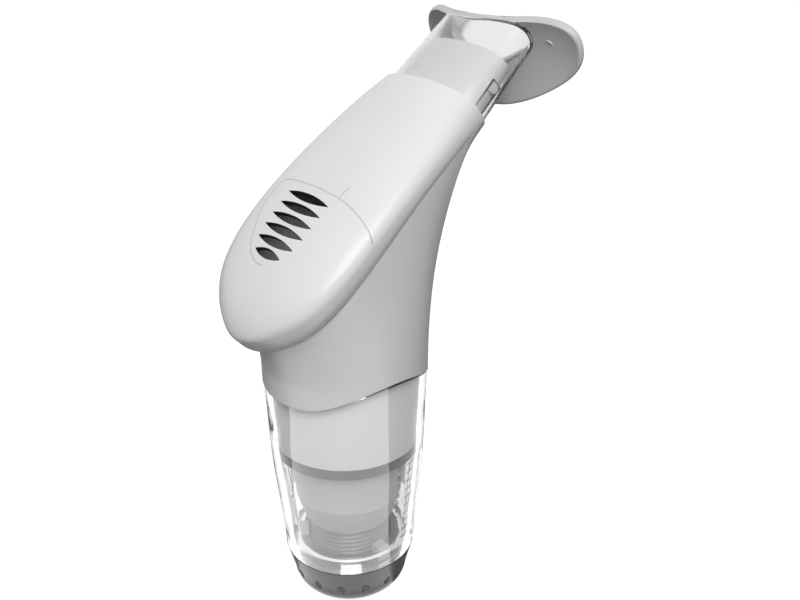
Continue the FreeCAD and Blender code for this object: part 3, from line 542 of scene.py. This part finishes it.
def thread_mesh():
    """Solid of the spindle: radius is the crest less a rounded groove that climbs two ridges a turn."""
    size = sizes()
    turns = np.linspace(0, 2 * np.pi, THREAD_AROUND, endpoint=False)[None, :]
    rise = np.linspace(RIDGES_LOW * MM, RIDGES_HIGH * MM, THREAD_ALONG)[:, None]
    phase = (rise / size.ridge_pitch - turns / np.pi) * 2 * np.pi
    groove = (0.5 - 0.5 * np.cos(phase)) ** GROOVE_POWER
    foot = np.array([(0.0, SPIGOT_LOW), (SPIGOT_R, SPIGOT_LOW), (SPIGOT_R, SPINDLE_LOW),
                     (FOOT_R, SPINDLE_LOW), (FOOT_R, FOOT_HIGH)]) * MM
    top = np.array([(TOP_R, SPINDLE_HIGH), (BORE_R, SPINDLE_HIGH),
                    (BORE_R, BORE_FLOOR), (0.0, BORE_FLOOR)]) * MM
    radius = np.concatenate([foot[:, :1] + 0 * turns, size.thread_radius - size.thread_depth * groove,
                             top[:, :1] + 0 * turns])
    z = np.concatenate([foot[:, 1:], rise, top[:, 1:]]) + 0 * turns
    points = np.stack([radius * np.cos(turns), radius * np.sin(turns), z], -1)
    return smooth(face_outwards(grid_mesh("ribbed_spindle", points, False, True), TUBE_WELD), FINE_SHARP)


def wall_radius(z):
    """Radius of the chamber's inner wall at a height, both in metres."""
    return np.interp(z / MM, WALL_ROWS[:, 0], WALL_ROWS[:, 1]) * MM


def on_wall(azimuth, z, inset):
    """Points on the chamber's inner wall by azimuth from the front, in degrees, moved inwards."""
    a = np.radians(azimuth)
    r = wall_radius(z) - inset
    return np.stack([r * np.sin(a), -r * np.cos(a), z + 0 * a], -1)


SCALE_FIRST = 20.5           # height of the lowest load level, mm
SCALE_LEVELS = 10
TICK_SPAN = (106.0, 116.0)   # azimuth of the scale's lines, degrees
TICK_STEPS = 9
TICK_INSETS = (0.02, 0.14)   # outer and inner face of a line off the wall, mm
DIGIT_AZIMUTH = 97.0
DIGIT_INSET, DIGIT_DEPTH = 0.08, 0.05        # middle of a digit off the wall and half its depth, mm
FONT_PER_DIGIT = 1.4         # font size over the height of a digit


def tick_mesh():
    """Thin closed plates on the wall, one for each load level, as one mesh."""
    size = sizes()
    levels = (SCALE_FIRST * MM + size.level_step * np.arange(SCALE_LEVELS))[:, None, None]
    azimuth = np.linspace(*TICK_SPAN, TICK_STEPS)[None, :, None]
    corner_z = np.array([-0.5, 0.5, 0.5, -0.5]) * size.tick_height
    corner_in = np.repeat(TICK_INSETS, 2) * MM
    points = on_wall(azimuth + 0 * levels, levels + corner_z, corner_in)
    work = bmesh.new()
    for plate in points:
        work.from_mesh(grid_mesh("plate", plate, False, True))
    joined = bpy.data.meshes.new("scale_lines")
    work.to_mesh(joined)
    work.free()
    return face_outwards(close_ends(joined))


def digits_mesh():
    """Level numbers as thin solid text, wrapped on the wall: width becomes azimuth."""
    size = sizes()
    work = bmesh.new()
    for level in range(SCALE_LEVELS):
        text = bpy.data.curves.new("level", "FONT")
        text.body = str(level)
        text.size = size.digit_height * FONT_PER_DIGIT
        text.align_x = "CENTER"
        text.extrude = DIGIT_DEPTH * MM
        text.resolution_u = 3
        holder = bpy.data.objects.new("level", text)
        bpy.context.collection.objects.link(holder)
        bpy.context.view_layer.update()
        graph = bpy.context.evaluated_depsgraph_get()
        flat = bpy.data.meshes.new_from_object(holder.evaluated_get(graph))
        co = np.empty(len(flat.vertices) * 3)
        flat.vertices.foreach_get("co", co)
        co = co.reshape(-1, 3)
        z = SCALE_FIRST * MM + size.level_step * level + co[:, 1] - size.digit_height / 2
        azimuth = DIGIT_AZIMUTH + np.degrees(co[:, 0] / wall_radius(z))
        placed = on_wall(azimuth, z, DIGIT_INSET * MM - co[:, 2])
        flat.vertices.foreach_set("co", placed.ravel())
        work.from_mesh(flat)
        bpy.data.objects.remove(holder)
    mesh = bpy.data.meshes.new("scale_digits")
    work.to_mesh(mesh)
    work.free()
    return face_outwards(mesh)


# Fine lines of the cover, grey strips of painted shade for its grooves, as corners of station and side, in
# mm
PANEL_LINE = [(-70.9, 1.2), (-71.0, -2.4), (-69.3, -6.3), (-66.6, -9.4), (-63.4, -11.1), (-59.0, -14.2),
              (-54.6, -15.5), (-50.5, -15.5), (-48.4, -14.8), (-47.7, -12.7), (-47.3, -6.0), (-47.2, 1.1),
              (-47.5, 7.9), (-48.0, 12.9), (-49.1, 17.0), (-50.2, 20.1), (-51.7, 22.5), (-53.3, 23.3)]
LINE_MARK = [(-47.5, 9.5), (-43.5, 10.1)]
LINE_POINTS, LINE_ROUNDING = 241, 9
# The ribbon's top over the cover, its foot under it, and the point that it faces away from, under
# the widest line of the head, in mm
LINE_LIFT, LINE_ROOT, LINE_CORE = 0.03, 0.15, 6.0


def head_height(s, x):
    """Height of the head's upper surface over the mouth axis, in mm: a section of power HEAD_POWER."""
    half, rise, centre = (np.interp(s, HEAD_ROWS[:, 0], HEAD_ROWS[:, k]) for k in (1, 2, 3))
    share = np.clip(1 - np.abs(x / half) ** HEAD_POWER, 0, 1)
    return centre + rise * share ** (1 / HEAD_POWER)


def even_path(corners, count):
    """Evenly spaced points along a line of corners, rounded by a running mean."""
    corners = np.asarray(corners, float)
    run = np.concatenate([[0.0], np.cumsum(np.hypot(*np.diff(corners, axis=0).T))])
    even = np.linspace(0, run[-1], count)
    path = np.stack([np.interp(even, run, corners[:, k]) for k in (0, 1)], -1)
    weights = np.ones(LINE_ROUNDING) / LINE_ROUNDING
    padded = np.pad(path, ((LINE_ROUNDING // 2, LINE_ROUNDING // 2), (0, 0)), mode="edge")
    return np.stack([np.convolve(padded[:, k], weights, "valid") for k in (0, 1)], -1)


def laid_on(mesh, node):
    """Vertex places of a mesh once each is moved to the nearest point of a solid."""
    holder = bpy.data.objects.new("holder", mesh)
    bpy.context.collection.objects.link(holder)
    wrap = holder.modifiers.new("lay", "SHRINKWRAP")
    wrap.wrap_method = "NEAREST_SURFACEPOINT"
    wrap.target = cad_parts[node]
    bpy.context.view_layer.update()
    laid = holder.evaluated_get(bpy.context.evaluated_depsgraph_get()).to_mesh()
    places = np.empty(len(laid.vertices) * 3)
    laid.vertices.foreach_get("co", places)
    bpy.data.objects.remove(holder)
    return places.reshape(-1, 3)


def strip_on_head(name, corners, width):
    """Thin flat ribbon along a line on the head: the line is moved half the width to each side,
    laid on the cover and lifted a little off it."""
    centre = even_path(corners, LINE_POINTS)
    s, x = centre.T
    along = np.gradient(centre, axis=0)
    along /= np.linalg.norm(along, axis=1)[:, None]
    across = np.stack([-along[:, 1], along[:, 0]], -1) * width / 2
    edges = np.stack([centre - across, centre + across], 1)
    near = on_axis(edges[..., 0] * MM, edges[..., 1] * MM, head_height(edges[..., 0], edges[..., 1]) * MM)
    surface = laid_on(grid_mesh("ribbon", near), "handle_cover").reshape(near.shape)
    widest = np.interp(edges[..., 0], HEAD_ROWS[:, 0], HEAD_ROWS[:, 3])
    core = on_axis(edges[..., 0] * MM, 0 * edges[..., 1], (widest - LINE_CORE) * MM)
    outwards = surface - core
    outwards /= np.linalg.norm(outwards, axis=-1, keepdims=True)
    top = surface + outwards * LINE_LIFT * MM
    low = surface - outwards * LINE_ROOT * MM
    ring = np.concatenate([top, low[:, ::-1]], 1)
    return smooth(face_outwards(close_ends(grid_mesh(name, ring, False, True))), FINE_SHARP)


# Stage

CAMERA_PLACE = (173.2, -123.1, 187.8)        # mm
CAMERA_AZIMUTH, CAMERA_ELEVATION = 50.506, 24.517
CAMERA_LENS, CAMERA_SENSOR = 39.15, 36.0
FLOOR_HALF = 3.0                             # m
KEY_AZIMUTH, KEY_ELEVATION, KEY_DISTANCE, KEY_SIZE, KEY_WATTS = 54.0, 40.0, 1.2, 0.7, 10.0
KEY_AIM_HEIGHT = 0.1                         # m
SKY_TOP, SKY_LEVEL = 0.6, 0.16
# The floor glows for gloss rays between these azimuths: a painted reflection band on the clear walls and
# glossy parts
GLOSS_GLOW_FROM, GLOSS_GLOW_TO = -27.0, 110.0          # azimuths between which the floor shines in gloss
GLOSS_GLOW_DIM, GLOSS_GLOW_BRIGHT = 0.25, 2.0         # the floor's shine outside and inside them
FLOOR_GLOW, FLOOR_SHADE = 0.82, 0.42         # the floor's own light and its lit part, which holds the shadow
FLOOR_BOUNCE = 0.05                          # share of light that the floor throws back on the trainer


def polar(azimuth, elevation, distance):
    """Place at a distance from the origin, its azimuth from the front and its elevation in degrees."""
    a, e = math.radians(azimuth), math.radians(elevation)
    return (distance * math.sin(a) * math.cos(e), -distance * math.cos(a) * math.cos(e),
            distance * math.sin(e))


def camera_and_lamp():
    """The camera where the photograph was taken, and a square lamp turned to the trainer."""
    camera = bpy.data.objects.new("camera", bpy.data.cameras.new("camera"))
    camera.location = [v * MM for v in CAMERA_PLACE]
    camera.rotation_euler = (math.radians(90 - CAMERA_ELEVATION), 0, math.radians(CAMERA_AZIMUTH))
    camera.data.sensor_width = CAMERA_SENSOR
    camera.data.lens = CAMERA_LENS
    camera.data.clip_start = 0.01
    bpy.context.collection.objects.link(camera)
    bpy.context.scene.camera = camera
    lamp = bpy.data.lights.new("key", "AREA")
    lamp.size = KEY_SIZE
    lamp.energy = KEY_WATTS
    key = bpy.data.objects.new("key", lamp)
    x, y, z = polar(KEY_AZIMUTH, KEY_ELEVATION, KEY_DISTANCE)
    key.location = (x, y, z + KEY_AIM_HEIGHT)
    key.rotation_euler = (math.radians(90 - KEY_ELEVATION), 0, math.radians(KEY_AZIMUTH))
    bpy.context.collection.objects.link(key)


def seen_mask(tree):
    """One for rays of the camera, of gloss and through clear walls, which all see the white studio."""
    path = tree.nodes.new("ShaderNodeLightPath")
    first, second = math_node(tree, "MAXIMUM"), math_node(tree, "MAXIMUM")
    tree.links.new(path.outputs["Is Camera Ray"], first.inputs[0])
    tree.links.new(path.outputs["Is Glossy Ray"], first.inputs[1])
    tree.links.new(first.outputs[0], second.inputs[0])
    tree.links.new(path.outputs["Is Transmission Ray"], second.inputs[1])
    return second.outputs[0]


def studio_world():
    """Sky that lights the trainer softly from above and looks plain white where it is seen."""
    world = bpy.data.worlds.new("studio")
    bpy.context.scene.world = world
    world.use_nodes = True
    tree = world.node_tree
    background = tree.nodes["Background"]
    background.inputs["Strength"].default_value = 1.0
    place = tree.nodes.new("ShaderNodeTexCoord")
    split = tree.nodes.new("ShaderNodeSeparateXYZ")
    level = tree.nodes.new("ShaderNodeMapRange")
    level.inputs["From Min"].default_value = 0.0
    level.inputs["To Min"].default_value = SKY_LEVEL
    level.inputs["To Max"].default_value = SKY_TOP
    tree.links.new(place.outputs["Generated"], split.inputs["Vector"])
    tree.links.new(split.outputs["Z"], level.inputs["Value"])
    mix = tree.nodes.new("ShaderNodeMix")
    mix.data_type = "FLOAT"
    mix.inputs["B"].default_value = 1.0
    tree.links.new(seen_mask(tree), mix.inputs["Factor"])
    tree.links.new(level.outputs["Result"], mix.inputs["A"])
    tree.links.new(mix.outputs["Result"], background.inputs["Color"])


def floor_finish():
    """White floor that keeps the shadow for the camera, bounces little light up under the trainer,
    and glows for gloss rays only in front, which paints a bright reflection on the clear and glossy parts."""
    material, tree, shader = new_material("floor")
    place = tree.nodes.new("ShaderNodeTexCoord")
    split = tree.nodes.new("ShaderNodeSeparateXYZ")
    tree.links.new(place.outputs["Object"], split.inputs["Vector"])
    minus = math_node(tree, "MULTIPLY", -1.0)
    tree.links.new(split.outputs["Y"], minus.inputs[0])
    angle = math_node(tree, "ARCTAN2")
    tree.links.new(split.outputs["X"], angle.inputs[0])
    tree.links.new(minus.outputs[0], angle.inputs[1])
    middle = math.radians((GLOSS_GLOW_FROM + GLOSS_GLOW_TO) / 2)
    half = math.radians((GLOSS_GLOW_TO - GLOSS_GLOW_FROM) / 2)
    inside = math_node(tree, "COMPARE", middle, half)
    tree.links.new(angle.outputs[0], inside.inputs[0])
    gloss_glow_strength = tree.nodes.new("ShaderNodeMapRange")
    gloss_glow_strength.inputs["To Min"].default_value = GLOSS_GLOW_DIM
    gloss_glow_strength.inputs["To Max"].default_value = GLOSS_GLOW_BRIGHT
    tree.links.new(inside.outputs[0], gloss_glow_strength.inputs["Value"])
    # Glow seen only by gloss rays: painted reflection, bright inside the sector and dim outside
    reflection_glow = tree.nodes.new("ShaderNodeEmission")
    tree.links.new(gloss_glow_strength.outputs["Result"], reflection_glow.inputs["Strength"])
    white = tree.nodes.new("ShaderNodeEmission")
    white.inputs["Strength"].default_value = FLOOR_GLOW
    shader.inputs["Base Color"].default_value = (FLOOR_SHADE, FLOOR_SHADE, FLOOR_SHADE, 1.0)
    shader.inputs["Roughness"].default_value = 0.9
    shader.inputs["Specular IOR Level"].default_value = 0.0
    both = tree.nodes.new("ShaderNodeAddShader")
    tree.links.new(white.outputs[0], both.inputs[0])
    tree.links.new(shader.outputs[0], both.inputs[1])
    clear = tree.nodes.new("ShaderNodeEmission")
    clear.inputs["Strength"].default_value = 1.0
    dull = tree.nodes.new("ShaderNodeBsdfDiffuse")
    dull.inputs["Color"].default_value = (FLOOR_BOUNCE, FLOOR_BOUNCE, FLOOR_BOUNCE, 1.0)
    path = tree.nodes.new("ShaderNodeLightPath")
    last = dull.outputs[0]
    for ray, look in (("Is Glossy Ray", reflection_glow.outputs[0]), ("Is Transmission Ray", clear.outputs[0]),
                      ("Is Camera Ray", both.outputs[0])):
        mix = tree.nodes.new("ShaderNodeMixShader")
        tree.links.new(path.outputs[ray], mix.inputs["Fac"])
        tree.links.new(last, mix.inputs[1])
        tree.links.new(look, mix.inputs[2])
        last = mix.outputs[0]
    tree.links.new(last, tree.nodes["Material Output"].inputs["Surface"])
    return material


class TRAINER_OT_finishes(bpy.types.Operator):
    """Shows the solids with smooth walls and their finishes"""
    bl_idname = "trainer.finishes"
    bl_label = "Shells and finishes"

    def execute(self, context):
        paint = finishes()
        for node, name, body, slot, sharp in SMOOTH_NODES:
            mesh = merged_node(node, sharp)
            mesh.name = name
            piece = add_piece(name, mesh, body, slot, paint[LOOKS.get(node, slot)], node)
            # The vents' walls and the cover's inside round them get a near black colour: painted shade
            if node == "handle_cover":
                darken_vents(piece.data, paint["vent_dark"])
            if node == "tension_spring":
                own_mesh(piece)
        for node, slot in PLAIN_NODES.items():
            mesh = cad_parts[node].data
            mesh.materials.clear()
            mesh.materials.append(paint[slot])
        return {"FINISHED"}


class TRAINER_OT_mouthpiece(bpy.types.Operator):
    """Adds the lip shield and its two bite tabs"""
    bl_idname = "trainer.mouthpiece"
    bl_label = "Lip shield"

    def execute(self, context):
        paint = finishes()["shield_grey"]
        add_piece("lip_shield", shield_mesh(), "mouthpiece", "shield_grey", paint, "mouthpiece_flange")
        for side, name in ((-1, "bite_tab_left"), (1, "bite_tab_right")):
            add_piece(name, tab_mesh(name, side), "mouthpiece", "shield_grey", paint)
        return {"FINISHED"}


class TRAINER_OT_thread(bpy.types.Operator):
    """Adds the spindle with its ridges"""
    bl_idname = "trainer.thread"
    bl_label = "Ribbed spindle"

    def execute(self, context):
        paint = finishes()["spindle_grey"]
        add_piece("ribbed_spindle", thread_mesh(), "knob", "spindle_grey", paint, "spindle")
        return {"FINISHED"}


class TRAINER_OT_scale(bpy.types.Operator):
    """Adds the load scale on the clear chamber's inner wall"""
    bl_idname = "trainer.scale"
    bl_label = "Load scale"

    def execute(self, context):
        paint = finishes()["scale_marks"]
        add_piece("scale_lines", tick_mesh(), "housing", "band_grey", paint)
        add_piece("scale_digits", digits_mesh(), "housing", "band_grey", paint)
        return {"FINISHED"}


class TRAINER_OT_lines(bpy.types.Operator):
    """Adds the fine moulded lines of the cover as grey strips, painted shade of their grooves"""
    bl_idname = "trainer.lines"
    bl_label = "Cover lines"

    def execute(self, context):
        # The strips' grey is painted shade of the cover's fine grooves
        paint = finishes()["fine_lines"]
        for name, corners in (("panel_line", PANEL_LINE), ("line_mark", LINE_MARK)):
            strip = strip_on_head(name, corners, sizes().line_width / MM)
            add_piece(name, strip, "cover", "cover_white", paint)
        return {"FINISHED"}


class TRAINER_OT_stage(bpy.types.Operator):
    """Adds the floor, the studio light and the camera"""
    bl_idname = "trainer.stage"
    bl_label = "Studio"

    def execute(self, context):
        corners = np.array([(-1, -1, 0), (1, -1, 0), (1, 1, 0), (-1, 1, 0)]) * FLOOR_HALF
        mesh = bpy.data.meshes.new("floor")
        mesh.from_pydata(corners.tolist(), [], [(0, 1, 2, 3)])
        mesh.materials.append(floor_finish())
        floor = bpy.data.objects.new("floor", mesh)
        bpy.context.collection.objects.link(floor)
        camera_and_lamp()
        studio_world()
        context.scene.view_settings.view_transform = "Standard"
        return {"FINISHED"}


class TRAINER_PT_panel(bpy.types.Panel):
    """Lists the trainer's steps and values"""
    bl_label = "Breathing trainer"
    bl_idname = "TRAINER_PT_panel"
    bl_space_type = "VIEW_3D"
    bl_region_type = "UI"
    bl_category = "Trainer"

    def draw(self, context):
        layout = self.layout
        for operator in OPERATORS:
            layout.operator(operator.bl_idname)
        for group in (context.scene.trainer_sizes, context.scene.trainer_colours):
            box = layout.box()
            for name in group.__annotations__:
                box.prop(group, name)


OPERATORS = (TRAINER_OT_finishes, TRAINER_OT_mouthpiece, TRAINER_OT_thread, TRAINER_OT_scale,
             TRAINER_OT_lines, TRAINER_OT_stage)
CLASSES = (TrainerSizes, TrainerColours) + OPERATORS + (TRAINER_PT_panel,)


def register():
    for item in CLASSES:
        bpy.utils.register_class(item)
    bpy.types.Scene.trainer_sizes = bpy.props.PointerProperty(type=TrainerSizes)
    bpy.types.Scene.trainer_colours = bpy.props.PointerProperty(type=TrainerColours)


def unregister():
    del bpy.types.Scene.trainer_colours
    del bpy.types.Scene.trainer_sizes
    for item in reversed(CLASSES):
        bpy.utils.unregister_class(item)


def main():
    """Builds every piece in turn."""
    register()
    bpy.ops.trainer.finishes()
    bpy.ops.trainer.mouthpiece()
    bpy.ops.trainer.thread()
    bpy.ops.trainer.scale()
    bpy.ops.trainer.lines()
    bpy.ops.trainer.stage()


if __name__ == "__main__":
    main()
